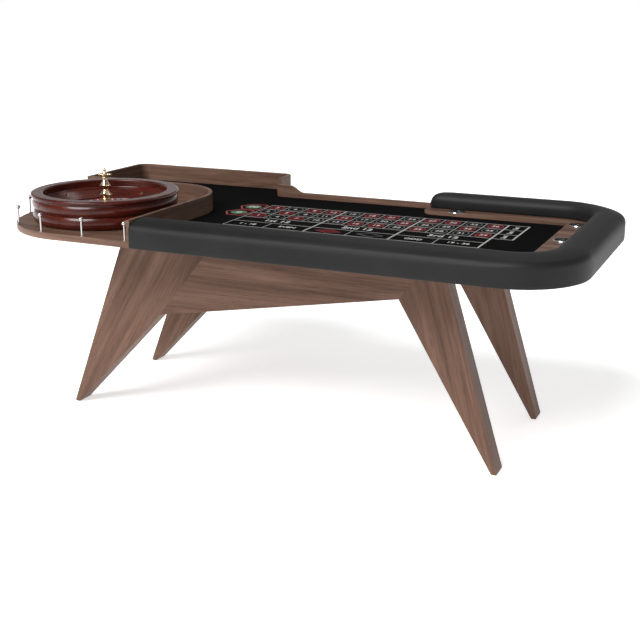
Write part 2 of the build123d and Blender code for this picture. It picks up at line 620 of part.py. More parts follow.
with BuildPart() as hub_sleeve:
    with BuildSketch(WHEEL_PLANE):
        outline([(BEARING_R, 24), (18, 24), (18, 64), (BEARING_R, 64)])
    revolve(axis=WHEEL_AXIS)
save(hub_sleeve, "hub_sleeve")

for place, height in (("lower", 24.5), ("upper", 47.0)):
    with BuildPart() as bearing:
        with BuildSketch(WHEEL_PLANE):
            outline([(SPINDLE_R + BEARING_PLAY, height), (BEARING_R, height), (BEARING_R, height + 9),
                     (SPINDLE_R + BEARING_PLAY, height + 9)])
        revolve(axis=WHEEL_AXIS)
    save(bearing, place + "_bearing")

with BuildPart() as hub_cap:
    with BuildSketch(WHEEL_PLANE):
        with BuildLine():
            Polyline((0, 66), (13, 66), (13, 64), (31, 64), (31, 66))
            ThreePointArc((31, 66), (30, 69), (26, 71))
            Polyline((26, 71), (8, 74), (0, 74), (0, 66))
        make_face()
    revolve(axis=WHEEL_AXIS)
save(hub_cap, "hub_cap")

with BuildPart() as turret:
    with BuildSketch(WHEEL_PLANE):
        with BuildLine():
            Polyline((0, 74), (24, 74), (24, 78))
            ThreePointArc((24, 78), (17, 83), (20, 90))
            Line((20, 90), (26, 94))
            Line((26, 94), (26, 97))
            Spline((26, 97), (15, 109), (9, 120), tangents=[(-1, 0.6), (-0.15, 1)])
            Line((9, 120), (12, 124))
            Line((12, 124), (12, 127))
            Line((12, 127), (22, 132))
            Line((22, 132), (22, 135))
            Spline((22, 135), (13, 149), (7.5, 164), tangents=[(-1, 0.5), (-0.1, 1)])
            Polyline((7.5, 164), (9.5, 166), (9.5, 169), (0, 169), (0, 74))
        make_face()
    revolve(axis=WHEEL_AXIS)
save(turret, "turret")

with BuildPart() as turret_handles:
    hub_height = DECK_TOP + 180
    with BuildSketch(WHEEL_PLANE):
        with BuildLine():
            Polyline((0, 169), (8, 169), (8, 171))
            ThreePointArc((8, 171), (12, 180), (8, 189))
            Polyline((8, 189), (0, 189), (0, 169))
        make_face()
    revolve(axis=WHEEL_AXIS)
    for number in range(4):
        turn = math.radians(20 + 90 * number)
        way = Vector(math.cos(turn), math.sin(turn), 0)
        centre = Vector(WHEEL_X, WHEEL_Y, hub_height)
        with BuildSketch(Plane(origin=centre + way * 9, z_dir=way)):
            Circle(3.0)
        extrude(amount=12)
        with Locations(centre + way * 22):
            Sphere(6)
save(turret_handles, "turret_handles")

with BuildPart() as finial:
    with BuildSketch(WHEEL_PLANE):
        outline([(0, 189), (6, 189), (3.5, 193), (3.5, 197), (0, 197)])
    revolve(axis=WHEEL_AXIS)
    with Locations((WHEEL_X, WHEEL_Y, DECK_TOP + 199)):
        Sphere(7)
save(finial, "turret_finial")

with BuildPart() as roulette_ball:
    turn = math.radians(BALL_ANGLE)
    with Locations((WHEEL_X + BALL_ORBIT_R * math.cos(turn), WHEEL_Y + BALL_ORBIT_R * math.sin(turn), DECK_TOP + BALL_Z)):
        Sphere(BALL_R)
save(roulette_ball, "roulette_ball")
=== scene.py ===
import math

import bmesh
import bpy
from mathutils import Euler, Matrix, Vector, noise


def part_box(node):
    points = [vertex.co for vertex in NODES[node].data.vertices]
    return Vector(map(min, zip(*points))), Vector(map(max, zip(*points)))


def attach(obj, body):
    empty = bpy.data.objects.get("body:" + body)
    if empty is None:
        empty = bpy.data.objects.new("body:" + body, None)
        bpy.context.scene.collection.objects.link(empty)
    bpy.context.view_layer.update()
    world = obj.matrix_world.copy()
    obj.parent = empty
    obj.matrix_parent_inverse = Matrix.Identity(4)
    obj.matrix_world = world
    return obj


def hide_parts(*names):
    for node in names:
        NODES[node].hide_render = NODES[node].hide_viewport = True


# The looks of a roulette table, in metres, in the same frame as its CAD: X runs along the table with the
# wheel at -X, the players stand at -Y, and Z = 0 is the floor.

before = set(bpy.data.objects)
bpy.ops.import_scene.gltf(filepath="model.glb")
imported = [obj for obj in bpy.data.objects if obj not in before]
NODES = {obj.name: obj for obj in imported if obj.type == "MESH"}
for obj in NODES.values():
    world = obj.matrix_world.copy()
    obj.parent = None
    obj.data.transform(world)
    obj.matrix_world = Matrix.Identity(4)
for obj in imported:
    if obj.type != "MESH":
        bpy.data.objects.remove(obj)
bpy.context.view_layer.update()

# ---- places read from the frame ----------------------------------------------------------------------

RAIL_LOW, RAIL_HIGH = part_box("rail_pad")
CORE_LOW, CORE_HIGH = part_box("rail_core")
FELT_LOW, FELT_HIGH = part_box("felt_layout")
BOWL_LOW, BOWL_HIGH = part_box("wheel_bowl")
WHEEL = Vector(((BOWL_LOW.x + BOWL_HIGH.x) / 2, (BOWL_LOW.y + BOWL_HIGH.y) / 2, 0))
DECK_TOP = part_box("deck_left")[1].z
LEDGE_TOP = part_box("ledge_end")[1].z
CLOTH_TOP = FELT_HIGH.z


# ---- node materials ----------------------------------------------------------------------------------

class Paint:
    """One procedural material on a Principled shader. Places are object coordinates, in metres."""

    def __init__(self, name, roughness=0.5, metallic=0.0):
        self.material = bpy.data.materials.new(name)
        self.material.use_nodes = True
        self.tree = self.material.node_tree
        self.shader = self.tree.nodes["Principled BSDF"]
        self.shader.inputs["Roughness"].default_value = roughness
        self.shader.inputs["Metallic"].default_value = metallic
        self.place = self.add("ShaderNodeTexCoord").outputs["Object"]

    def add(self, kind, **settings):
        node = self.tree.nodes.new(kind)
        for key, value in settings.items():
            setattr(node, key, value)
        return node

    def feed(self, socket, value):
        """Link a socket to the value, or set it where the value is a plain number or colour."""
        if isinstance(value, bpy.types.NodeSocket):
            self.tree.links.new(value, socket)
        else:
            socket.default_value = value

    def sum(self, operation, first, second=0.0, clamp=False):
        node = self.add("ShaderNodeMath", operation=operation, use_clamp=clamp)
        self.feed(node.inputs[0], first)
        self.feed(node.inputs[1], second)
        return node.outputs[0]

    def mapped(self, vector, scale=(1, 1, 1), turn=(0, 0, 0), move=(0, 0, 0)):
        """Move and turn a vector, then scale it."""
        node = self.add("ShaderNodeMapping", vector_type="POINT")
        self.feed(node.inputs["Vector"], vector)
        node.inputs["Location"].default_value = move
        node.inputs["Rotation"].default_value = turn
        grown = self.add("ShaderNodeVectorMath", operation="MULTIPLY")
        self.feed(grown.inputs[0], node.outputs[0])
        grown.inputs[1].default_value = scale
        return grown.outputs[0]

    def noise(self, vector, scale=1.0, detail=4.0, rough=0.5, distortion=0.0):
        node = self.add("ShaderNodeTexNoise")
        self.feed(node.inputs["Vector"], vector)
        node.inputs["Scale"].default_value = scale
        node.inputs["Detail"].default_value = detail
        node.inputs["Roughness"].default_value = rough
        node.inputs["Distortion"].default_value = distortion
        return node.outputs["Fac"]

    def cells(self, vector, scale, feature="F1"):
        node = self.add("ShaderNodeTexVoronoi", feature=feature)
        self.feed(node.inputs["Vector"], vector)
        node.inputs["Scale"].default_value = scale
        return node.outputs["Distance"]

    def ramp(self, factor, stops):
        """Blend colours or grey values along a factor; stops are (position, colour)."""
        node = self.add("ShaderNodeValToRGB")
        self.feed(node.inputs[0], factor)
        elements = node.color_ramp.elements
        while len(elements) < len(stops):
            elements.new(0.5)
        for element, (position, colour) in zip(elements, stops):
            element.position = position
            element.color = (colour,) * 3 + (1,) if isinstance(colour, (int, float)) else tuple(colour) + (1,)
        return node.outputs[0]

    def blend(self, factor, first, second, kind="MIX"):
        node = self.add("ShaderNodeMix", data_type="RGBA", blend_type=kind)
        self.feed(node.inputs[0], factor)
        self.feed(node.inputs[6], first)
        self.feed(node.inputs[7], second)
        return node.outputs[2]

    def bump(self, height, depth, strength=1.0, below=None):
        node = self.add("ShaderNodeBump")
        self.feed(node.inputs["Height"], height)
        node.inputs["Distance"].default_value = depth
        node.inputs["Strength"].default_value = strength
        if below:
            self.feed(node.inputs["Normal"], below)
        return node.outputs[0]

    def colour(self, value):
        self.feed(self.shader.inputs["Base Color"], value)

    def roughness(self, factor, low, high):
        """Vary the roughness between two values with a factor."""
        spread = self.add("ShaderNodeMapRange")
        self.feed(spread.inputs["Value"], factor)
        spread.inputs["To Min"].default_value = low
        spread.inputs["To Max"].default_value = high
        self.feed(self.shader.inputs["Roughness"], spread.outputs[0])

    def normal(self, value):
        self.feed(self.shader.inputs["Normal"], value)

    def fixed(self, **values):
        """Set shader values that are the same all over."""
        for key, value in values.items():
            self.shader.inputs[key.replace("_", " ")].default_value = value

    def polar(self):
        """Angle in turns, radius and height about the wheel's axis, and the unit direction."""
        moved = self.mapped(self.place, move=(-WHEEL.x, -WHEEL.y, 0))
        parts = self.add("ShaderNodeSeparateXYZ")
        self.feed(parts.inputs[0], moved)
        x, y, z = parts.outputs
        radius = self.sum("SQRT", self.sum("ADD", self.sum("MULTIPLY", x, x), self.sum("MULTIPLY", y, y)))
        turn = self.sum("DIVIDE", self.sum("ARCTAN2", y, x), 2 * math.pi)
        return turn, radius, z, self.sum("DIVIDE", x, radius), self.sum("DIVIDE", y, radius)

    def vector(self, x, y, z):
        node = self.add("ShaderNodeCombineXYZ")
        for socket, value in zip(node.inputs, (x, y, z)):
            self.feed(socket, value)
        return node.outputs[0]


WALNUT_DARK = (0.092, 0.050, 0.035)
WALNUT_MID = (0.150, 0.084, 0.059)
WALNUT_LIGHT = (0.212, 0.125, 0.090)


def walnut(name, turn=(0, 0, 0), scale=(1.1, 15, 15), seed=0.0):
    """Satin walnut. The grain runs along the X of the turned coordinates."""
    p = Paint(name)
    board = p.mapped(p.place, turn=turn, move=(seed, seed * 1.7, seed * 0.6))
    figure = p.noise(p.mapped(board, scale), 1.0, 5, 0.55, 0.9)
    cathedral = p.noise(p.mapped(board, [s * 0.45 for s in scale]), 1.0, 2, 0.5, 2.4)
    streak = p.noise(p.mapped(board, [s * f for s, f in zip(scale, (2.2, 8, 8))]), 1.0, 5, 0.65)
    pore = p.noise(p.mapped(board, [s * f for s, f in zip(scale, (14, 42, 42))]), 1.0, 2, 0.5)
    tone = p.sum("ADD", p.sum("MULTIPLY", figure, 0.62), p.sum("MULTIPLY", cathedral, 0.38))
    body = p.ramp(tone, [(0.36, WALNUT_DARK), (0.50, WALNUT_MID), (0.66, WALNUT_LIGHT)])
    lines = p.ramp(streak, [(0.38, 0.78), (0.56, 1.0), (0.74, 1.08)])
    pits = p.ramp(pore, [(0.30, 0.45), (0.40, 1.0)])
    p.colour(p.blend(0.85, p.blend(0.8, body, lines, "MULTIPLY"), pits, "MULTIPLY"))
    p.roughness(streak, 0.36, 0.52)
    p.normal(p.bump(streak, 0.00012, 0.5, p.bump(pits, 0.00012, 0.6)))
    p.fixed(Specular_IOR_Level=0.14, Coat_Weight=0.02, Coat_Roughness=0.32)
    return p.material


def edge_walnut(name, seed):
    """Walnut whose grain lies along any level edge or curved wall, and along X on top."""
    p = Paint(name)
    up = p.add("ShaderNodeSeparateXYZ")
    p.feed(up.inputs[0], p.add("ShaderNodeNewGeometry").outputs["Normal"])
    top = p.sum("GREATER_THAN", p.sum("ABSOLUTE", up.outputs[2]), 0.7)
    board = p.mapped(p.place, move=(seed, seed * 1.3, seed))
    wide = p.blend(top, p.mapped(board, (1.3, 1.3, 22)), p.mapped(board, (1.1, 15, 15)))
    figure = p.noise(wide, 1.0, 5, 0.55, 0.7)
    streak = p.noise(wide, 6.0, 5, 0.65)
    pore = p.noise(wide, 24.0, 2, 0.5)
    body = p.ramp(figure, [(0.34, WALNUT_DARK), (0.50, WALNUT_MID), (0.68, WALNUT_LIGHT)])
    lines = p.ramp(streak, [(0.38, 0.78), (0.56, 1.0), (0.74, 1.08)])
    pits = p.ramp(pore, [(0.28, 0.5), (0.38, 1.0)])
    p.colour(p.blend(0.85, p.blend(0.8, body, lines, "MULTIPLY"), pits, "MULTIPLY"))
    p.roughness(streak, 0.34, 0.50)
    p.normal(p.bump(streak, 0.00012, 0.5, p.bump(pits, 0.0001, 0.5)))
    p.fixed(Specular_IOR_Level=0.16, Coat_Weight=0.03, Coat_Roughness=0.28)
    return p.material


def mahogany():
    """High-gloss red mahogany, its grain running round the wheel."""
    p = Paint("mahogany_lacquer", roughness=0.22)
    turn, radius, height, across, along = p.polar()
    ring = p.vector(p.sum("MULTIPLY", across, 2.6), p.sum("MULTIPLY", along, 2.6),
                    p.sum("ADD", p.sum("MULTIPLY", radius, 62.0), p.sum("MULTIPLY", height, 78.0)))
    figure = p.noise(ring, 1.0, 5, 0.6, 0.8)
    streak = p.noise(ring, 5.0, 4, 0.7)
    stave = p.noise(p.vector(p.sum("MULTIPLY", across, 1.2), p.sum("MULTIPLY", along, 1.2), 0.0), 1.4, 2)
    body = p.ramp(figure, [(0.32, (0.042, 0.0045, 0.0024)), (0.50, (0.070, 0.0080, 0.0038)),
                           (0.70, (0.112, 0.0160, 0.0070))])
    lines = p.ramp(streak, [(0.36, 0.80), (0.58, 1.0), (0.74, 1.1)])
    shade = p.ramp(stave, [(0.30, 0.72), (0.70, 1.15)])
    p.colour(p.blend(1.0, p.blend(0.9, body, lines, "MULTIPLY"), shade, "MULTIPLY"))
    p.roughness(streak, 0.20, 0.32)
    p.normal(p.bump(streak, 0.00005, 0.3))
    p.fixed(Coat_Weight=0.35, Coat_Roughness=0.16, Specular_IOR_Level=0.2)
    return p.material


def leather():
    """Matte black upholstery leather with a pebbled grain."""
    p = Paint("rail_leather")
    pebble = p.cells(p.place, 520.0)
    crease = p.cells(p.mapped(p.place, (1, 1, 1), move=(0.3, 0.1, 0)), 240.0, "SMOOTH_F1")
    wear = p.noise(p.place, 5.0, 4, 0.6)
    mottled = p.noise(p.place, 90.0, 3, 0.6)
    tone = p.blend(mottled, (0.0050, 0.0050, 0.0054, 1), (0.0095, 0.0095, 0.0098, 1))
    p.colour(p.blend(p.ramp(wear, [(0.35, 0.0), (0.75, 1.0)]), tone, (0.012, 0.012, 0.012, 1)))
    p.roughness(p.blend(0.5, wear, mottled), 0.44, 0.62)
    p.normal(p.bump(pebble, 0.00035, 0.55, p.bump(crease, 0.0005, 0.35, p.bump(wear, 0.002, 0.15))))
    p.fixed(Specular_IOR_Level=0.24, Sheen_Weight=0.01, Sheen_Roughness=0.5)
    return p.material


def woven(name, low, high, sheen=0.02, shine=0.25):
    """Fine worsted cloth, plain weave at about 0.8 mm, in a shade between two colours."""
    p = Paint(name, roughness=0.86)
    warp = p.add("ShaderNodeTexWave", wave_type="BANDS", bands_direction="X")
    weft = p.add("ShaderNodeTexWave", wave_type="BANDS", bands_direction="Y")
    for thread in (warp, weft):
        p.feed(thread.inputs["Vector"], p.place)
        thread.inputs["Scale"].default_value = 390.0
        thread.inputs["Distortion"].default_value = 0.6
        thread.inputs["Detail"].default_value = 1.0
    weave = p.sum("MULTIPLY", warp.outputs["Fac"], weft.outputs["Fac"])
    nap = p.noise(p.place, 1400.0, 2, 0.6)
    cloud = p.noise(p.place, 3.2, 4, 0.6)
    shade = p.sum("ADD", p.sum("MULTIPLY", weave, 0.35),
                  p.sum("ADD", p.sum("MULTIPLY", nap, 0.3), p.sum("MULTIPLY", cloud, 0.35)))
    p.colour(p.ramp(shade, [(0.25, low), (0.70, high)]))
    p.normal(p.bump(weave, 0.00018, 0.6, p.bump(nap, 0.0001, 0.5)))
    p.fixed(Sheen_Weight=sheen, Sheen_Roughness=0.45, Specular_IOR_Level=shine)
    return p.material


def metal(name, dark, light, low, high, scale=(60, 60, 60), depth=0.00001):
    """A metal with fine polishing or turning marks."""
    p = Paint(name, metallic=1.0)
    marks = p.noise(p.mapped(p.place, scale), 1.0, 5, 0.6)
    cloud = p.noise(p.place, 14.0, 3, 0.5)
    p.colour(p.blend(p.blend(0.5, marks, cloud), tuple(dark) + (1,), tuple(light) + (1,)))
    p.roughness(marks, low, high)
    p.normal(p.bump(marks, depth, 0.5))
    return p.material


def turned_metal(name, dark, light, low, high, lines=900.0):
    """A metal turned on a lathe about the wheel's axis, with fine rings."""
    p = Paint(name, metallic=1.0)
    turn, radius, height, across, along = p.polar()
    rings = p.noise(p.vector(p.sum("MULTIPLY", radius, lines), p.sum("MULTIPLY", height, lines),
                             p.sum("MULTIPLY", across, 0.8)), 1.0, 3, 0.7)
    cloud = p.noise(p.place, 22.0, 3, 0.5)
    p.colour(p.blend(p.blend(0.5, rings, cloud), tuple(dark) + (1,), tuple(light) + (1,)))
    p.roughness(rings, low, high)
    p.normal(p.bump(rings, 0.000012, 0.4))
    return p.material


def pocket_colours(name, gloss):
    """Enamel in the 38 sectors of the rotor: green for the two zeros, red and black between."""
    p = Paint(name, roughness=gloss)
    turn, radius, height, across, along = p.polar()
    sector = p.sum("FLOOR", p.sum("MULTIPLY", p.sum("ADD", turn, 1.0), 38.0))
    index = p.sum("MODULO", sector, 38.0)
    odd = p.sum("MODULO", index, 2.0)
    zero = p.sum("ADD", p.sum("COMPARE", index, 0.0), p.sum("COMPARE", index, 19.0), clamp=True)
    for link in list(p.tree.links):
        if link.to_node.type == "MATH" and link.to_node.operation == "COMPARE":
            link.to_node.inputs[2].default_value = 0.25
    cloud = p.noise(p.place, 60.0, 3, 0.5)
    red = p.blend(cloud, (0.20, 0.008, 0.008, 1), (0.34, 0.014, 0.012, 1))
    black = p.blend(cloud, (0.006, 0.006, 0.007, 1), (0.016, 0.016, 0.017, 1))
    green = p.blend(cloud, (0.004, 0.10, 0.03, 1), (0.010, 0.17, 0.05, 1))
    p.colour(p.blend(zero, p.blend(odd, red, black), green))
    p.roughness(cloud, gloss, gloss + 0.12)
    p.normal(p.bump(cloud, 0.00004, 0.3))
    p.fixed(Coat_Weight=0.6, Coat_Roughness=0.08)
    return p.material


def moulded(name, dark, light, low, high, grain=700.0, depth=0.00006):
    """Plastic, rubber or enamel with a fine moulded texture."""
    p = Paint(name)
    fine = p.noise(p.place, grain, 3, 0.6)
    cloud = p.noise(p.place, 35.0, 3, 0.5)
    p.colour(p.blend(p.blend(0.5, fine, cloud), tuple(dark) + (1,), tuple(light) + (1,)))
    p.roughness(cloud, low, high)
    p.normal(p.bump(fine, depth, 0.5))
    return p.material


def plywood():
    """Raw plywood with its plies on edge."""
    p = Paint("core_plywood", roughness=0.7)
    plies = p.noise(p.mapped(p.place, (3, 3, 420)), 1.0, 2, 0.5)
    fibre = p.noise(p.mapped(p.place, (18, 160, 160)), 1.0, 4, 0.6)
    p.colour(p.ramp(p.blend(0.5, plies, fibre), [(0.35, (0.26, 0.17, 0.10)), (0.65, (0.50, 0.37, 0.24))]))
    p.roughness(fibre, 0.62, 0.80)
    p.normal(p.bump(fibre, 0.0002, 0.5))
    return p.material


# ---- materials on the CAD nodes ----------------------------------------------------------------------

def paint_node(name, material):
    mesh = NODES[name].data
    if not mesh.materials:
        mesh.materials.append(material)
    for index in range(len(mesh.materials)):
        mesh.materials[index] = material


# how far the grain follows the lean of each leg's box
LEFT_GRAIN_LEAN = 0.72
RIGHT_GRAIN_LEAN = 0.55
UPRIGHT = math.radians(90)

for side, seed in (("front", 3.1), ("rear", 7.4)):
    low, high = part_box(side + "_left_leg")
    left_lean = math.atan2(high.x - low.x, high.z - low.z) * LEFT_GRAIN_LEAN
    low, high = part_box(side + "_right_leg")
    right_lean = -math.atan2(high.x - low.x, high.z - low.z) * RIGHT_GRAIN_LEAN
    paint_node(side + "_left_leg",
               walnut(side + "_left_leg_walnut", turn=(0, UPRIGHT - left_lean, 0), seed=seed))
    paint_node(side + "_right_leg",
               walnut(side + "_right_leg_walnut", turn=(0, UPRIGHT - right_lean, 0), seed=seed + 1.3))
    paint_node(side + "_apron", walnut(side + "_apron_walnut", seed=seed + 2.9))

paint_node("deck_left", edge_walnut("deck_walnut", 1.9))
paint_node("deck_right", NODES["deck_left"].data.materials[0])
paint_node("guard_wall", edge_walnut("guard_walnut", 4.7))
paint_node("divider_wall", edge_walnut("divider_walnut", 6.1))
paint_node("recess_wall", edge_walnut("recess_walnut", 8.8))
LEDGE_WOOD = edge_walnut("ledge_walnut", 2.6)
for name in ("ledge_front", "ledge_end", "ledge_back"):
    paint_node(name, LEDGE_WOOD)
CROSS_WOOD = walnut("cross_rail_walnut", turn=(0, 0, math.radians(90)), seed=5.5)
for name in ("cross_rail_left", "cross_rail_centre", "cross_rail_right"):
    paint_node(name, CROSS_WOOD)

CHROME = metal("post_chrome", (0.50, 0.48, 0.48), (0.66, 0.64, 0.64), 0.05, 0.14)
CUP_STEEL = metal("cup_steel", (0.66, 0.66, 0.67), (0.80, 0.80, 0.81), 0.10, 0.26, (220, 220, 30))
BRASS = metal("turret_brass", (0.74, 0.54, 0.33), (0.88, 0.68, 0.46), 0.05, 0.13)
ZINC = metal("zinc_steel", (0.42, 0.42, 0.44), (0.60, 0.60, 0.62), 0.26, 0.44, (40, 40, 160))
ALUMINIUM = turned_metal("spun_aluminium", (0.46, 0.46, 0.48), (0.64, 0.64, 0.65), 0.22, 0.38)
TURNED_STEEL = turned_metal("turned_steel", (0.45, 0.45, 0.47), (0.62, 0.62, 0.63), 0.20, 0.34)
MAHOGANY = mahogany()

for name in NODES:
    if name.startswith("gallery_post"):
        paint_node(name, CHROME)
    elif name.startswith("cup_holder"):
        paint_node(name, CUP_STEEL)
for name in ("turret", "turret_handles", "turret_finial", "hub_cap", "ball_deflectors"):
    paint_node(name, BRASS)
for name in ("rail_brackets", "bracket_screws"):
    paint_node(name, ZINC)
for name in ("spindle", "spindle_nut", "hub_sleeve", "lower_bearing", "upper_bearing"):
    paint_node(name, TURNED_STEEL)
paint_node("rotor_pan", ALUMINIUM)
paint_node("fret_ring", BRASS)
paint_node("wheel_bowl", MAHOGANY)
paint_node("rotor_cone", MAHOGANY)
paint_node("wheel_base_plate", MAHOGANY)
paint_node("number_ring", pocket_colours("number_enamel", 0.16))
paint_node("pocket_ring", pocket_colours("pocket_enamel", 0.24))
paint_node("wheel_pads", moulded("pad_rubber", (0.012, 0.012, 0.012), (0.03, 0.03, 0.03), 0.62, 0.8))
paint_node("foot_glides", moulded("glide_plastic", (0.015, 0.015, 0.016), (0.035, 0.035, 0.036), 0.4, 0.6))
BALL_PLASTIC = moulded("ball_plastic", (0.78, 0.78, 0.74), (0.88, 0.87, 0.83), 0.10, 0.18, 900, 0.00001)
paint_node("roulette_ball", BALL_PLASTIC)
paint_node("rail_core", plywood())


EDGE_ROUND = 0.0012


def soften(name):
    """Round the hard edges of a CAD node in the render."""
    node = NODES[name]
    weld = node.modifiers.new("weld", "WELD")
    weld.merge_threshold = 0.00001
    bevel = node.modifiers.new("bevel", "BEVEL")
    bevel.width = EDGE_ROUND
    bevel.segments = 2
    bevel.limit_method = "ANGLE"
    bevel.angle_limit = math.radians(40)
    bevel.use_clamp_overlap = True


for name in ("front_left_leg", "front_right_leg", "front_apron",
             "rear_left_leg", "rear_right_leg", "rear_apron",
             "recess_wall", "guard_wall", "ledge_front", "ledge_end", "ledge_back"):
    soften(name)


# ---- shared mesh helper ------------------------------------------------------------------------------

def piece_from(name, points, faces, material):
    """A smooth-shaded object with one material, from points and faces."""
    mesh = bpy.data.meshes.new(name)
    mesh.from_pydata([tuple(p) for p in points], [], faces)
    mesh.materials.append(material)
    mesh.update()
    work = bmesh.new()
    work.from_mesh(mesh)
    bmesh.ops.recalc_face_normals(work, faces=work.faces[:])
    work.to_mesh(mesh)
    work.free()
    mesh.shade_smooth()
    made = bpy.data.objects.new(name, mesh)
    bpy.context.scene.collection.objects.link(made)
    return made


# ---- padded rail -------------------------------------------------------------------------------------

# sizes across the rail are measured in from its outer face
RAIL_WIDTH = 0.130
RAIL_ROUND = 0.026
RAIL_CREST_IN = 0.098
RAIL_CROWN_R = 0.260
FRONT_CORNER_R = 0.265
BACK_CORNER_R = 0.280
STATION = 0.011
DOME = 0.066
RAIL_BACK_END = 0.381
CORE_BACK_END = 0.392
CORE_GAP = 0.0003
CORE_OUTER = 0.012
CORE_INNER = 0.120
CORE_STEP = 0.048
# points across the hollow's roof and down its outer side
HOLLOW_ROOF_IN = (0.095, 0.066, 0.038)
HOLLOW_SIDE_Z = (0.846, 0.826)
# an extra point lies this far from each corner, and the skin clears the wood by the gap
EASE = 0.003
SKIN_GAP = 0.0004
PAD_SWELL = 0.0024
SWELL_FRAMES = 20


def rail_stations():
    """Points along the rail's outer face, front left to back left, each with the level way into the table."""
    front, back, side = RAIL_LOW.y, RAIL_HIGH.y, RAIL_HIGH.x
    dome_start = RAIL_BACK_END + DOME
    stations = []

    def straight(a, b, way):
        steps = max(1, round((Vector(b) - Vector(a)).length / STATION))
        for i in range(steps):
            stations.append((Vector(a).lerp(Vector(b), i / steps), Vector(way)))

    def corner(centre, radius, from_angle):
        steps = max(1, round(radius * math.pi / 2 / STATION))
        for i in range(steps):
            angle = from_angle + math.pi / 2 * i / steps
            out = Vector((math.cos(angle), math.sin(angle)))
            stations.append((Vector(centre) + out * radius, -out))

    straight((RAIL_LOW.x, front), (side - FRONT_CORNER_R, front), (0, 1))
    corner((side - FRONT_CORNER_R, front + FRONT_CORNER_R), FRONT_CORNER_R, -math.pi / 2)
    straight((side, front + FRONT_CORNER_R), (side, back - BACK_CORNER_R), (-1, 0))
    corner((side - BACK_CORNER_R, back - BACK_CORNER_R), BACK_CORNER_R, 0.0)
    straight((side - BACK_CORNER_R, back), (dome_start, back), (0, -1))
    for share in (0, 0.14, 0.28, 0.42, 0.55, 0.67, 0.77, 0.84, 0.90, 0.95, 0.985, 1.0):
        stations.append((Vector((dome_start - DOME * share, back)), Vector((0, -1))))
    return stations


def pad_base(offset):
    """Height of what lies under the pad, by distance in from the rail's outer face."""
    if offset < CORE_STEP:
        return RAIL_LOW.z + 0.0005
    return (DECK_TOP if offset < CORE_INNER else LEDGE_TOP) + SKIN_GAP


def pad_section():
    """The pad's skin and the hollow for its core, as (distance in, height) pairs."""
    crest = RAIL_HIGH.z
    lean = math.asin((RAIL_CREST_IN - RAIL_ROUND) / (RAIL_CROWN_R - RAIL_ROUND))
    crown_z = crest - RAIL_CROWN_R
    outer_z = crown_z + (RAIL_CROWN_R - RAIL_ROUND) * math.cos(lean)
    inner_r = RAIL_WIDTH - RAIL_CREST_IN
    inner_z = crest - inner_r
    skin = [(0.0035, RAIL_LOW.z + 0.0003), (0.0008, RAIL_LOW.z + 0.0022)]
    skin += [(0.0, RAIL_LOW.z + 0.006 + (outer_z - RAIL_LOW.z - 0.006) * i / 5) for i in range(6)]
    for i in range(1, 7):
        turn = (math.pi / 2 - lean) * i / 6
        skin.append((RAIL_ROUND * (1 - math.cos(turn)), outer_z + RAIL_ROUND * math.sin(turn)))
    for i in range(1, 8):
        turn = lean * (1 - i / 7)
        skin.append((RAIL_CREST_IN - RAIL_CROWN_R * math.sin(turn), crown_z + RAIL_CROWN_R * math.cos(turn)))
    for i in range(1, 8):
        turn = math.pi / 2 * i / 7
        skin.append((RAIL_CREST_IN + inner_r * math.sin(turn), inner_z + inner_r * math.cos(turn)))
    skin += [(RAIL_WIDTH, (inner_z + LEDGE_TOP) / 2), (RAIL_WIDTH - 0.0006, LEDGE_TOP + 0.0022),
             (RAIL_WIDTH - EASE, LEDGE_TOP + SKIN_GAP)]
    inner, outer = CORE_INNER + CORE_GAP, CORE_OUTER - CORE_GAP
    roof = CORE_HIGH.z + CORE_GAP
    hollow = [(inner, LEDGE_TOP + SKIN_GAP), (inner, LEDGE_TOP + EASE), (inner, roof - EASE), (inner, roof)]
    hollow += [(inner - EASE, roof)] + [(offset, roof) for offset in HOLLOW_ROOF_IN]
    hollow += [(outer + EASE, roof)]
    hollow += [(outer, roof), (outer, roof - EASE)] + [(outer, height) for height in HOLLOW_SIDE_Z]
    hollow += [(outer, RAIL_LOW.z + EASE), (outer, RAIL_LOW.z + SKIN_GAP)]
    return skin, hollow


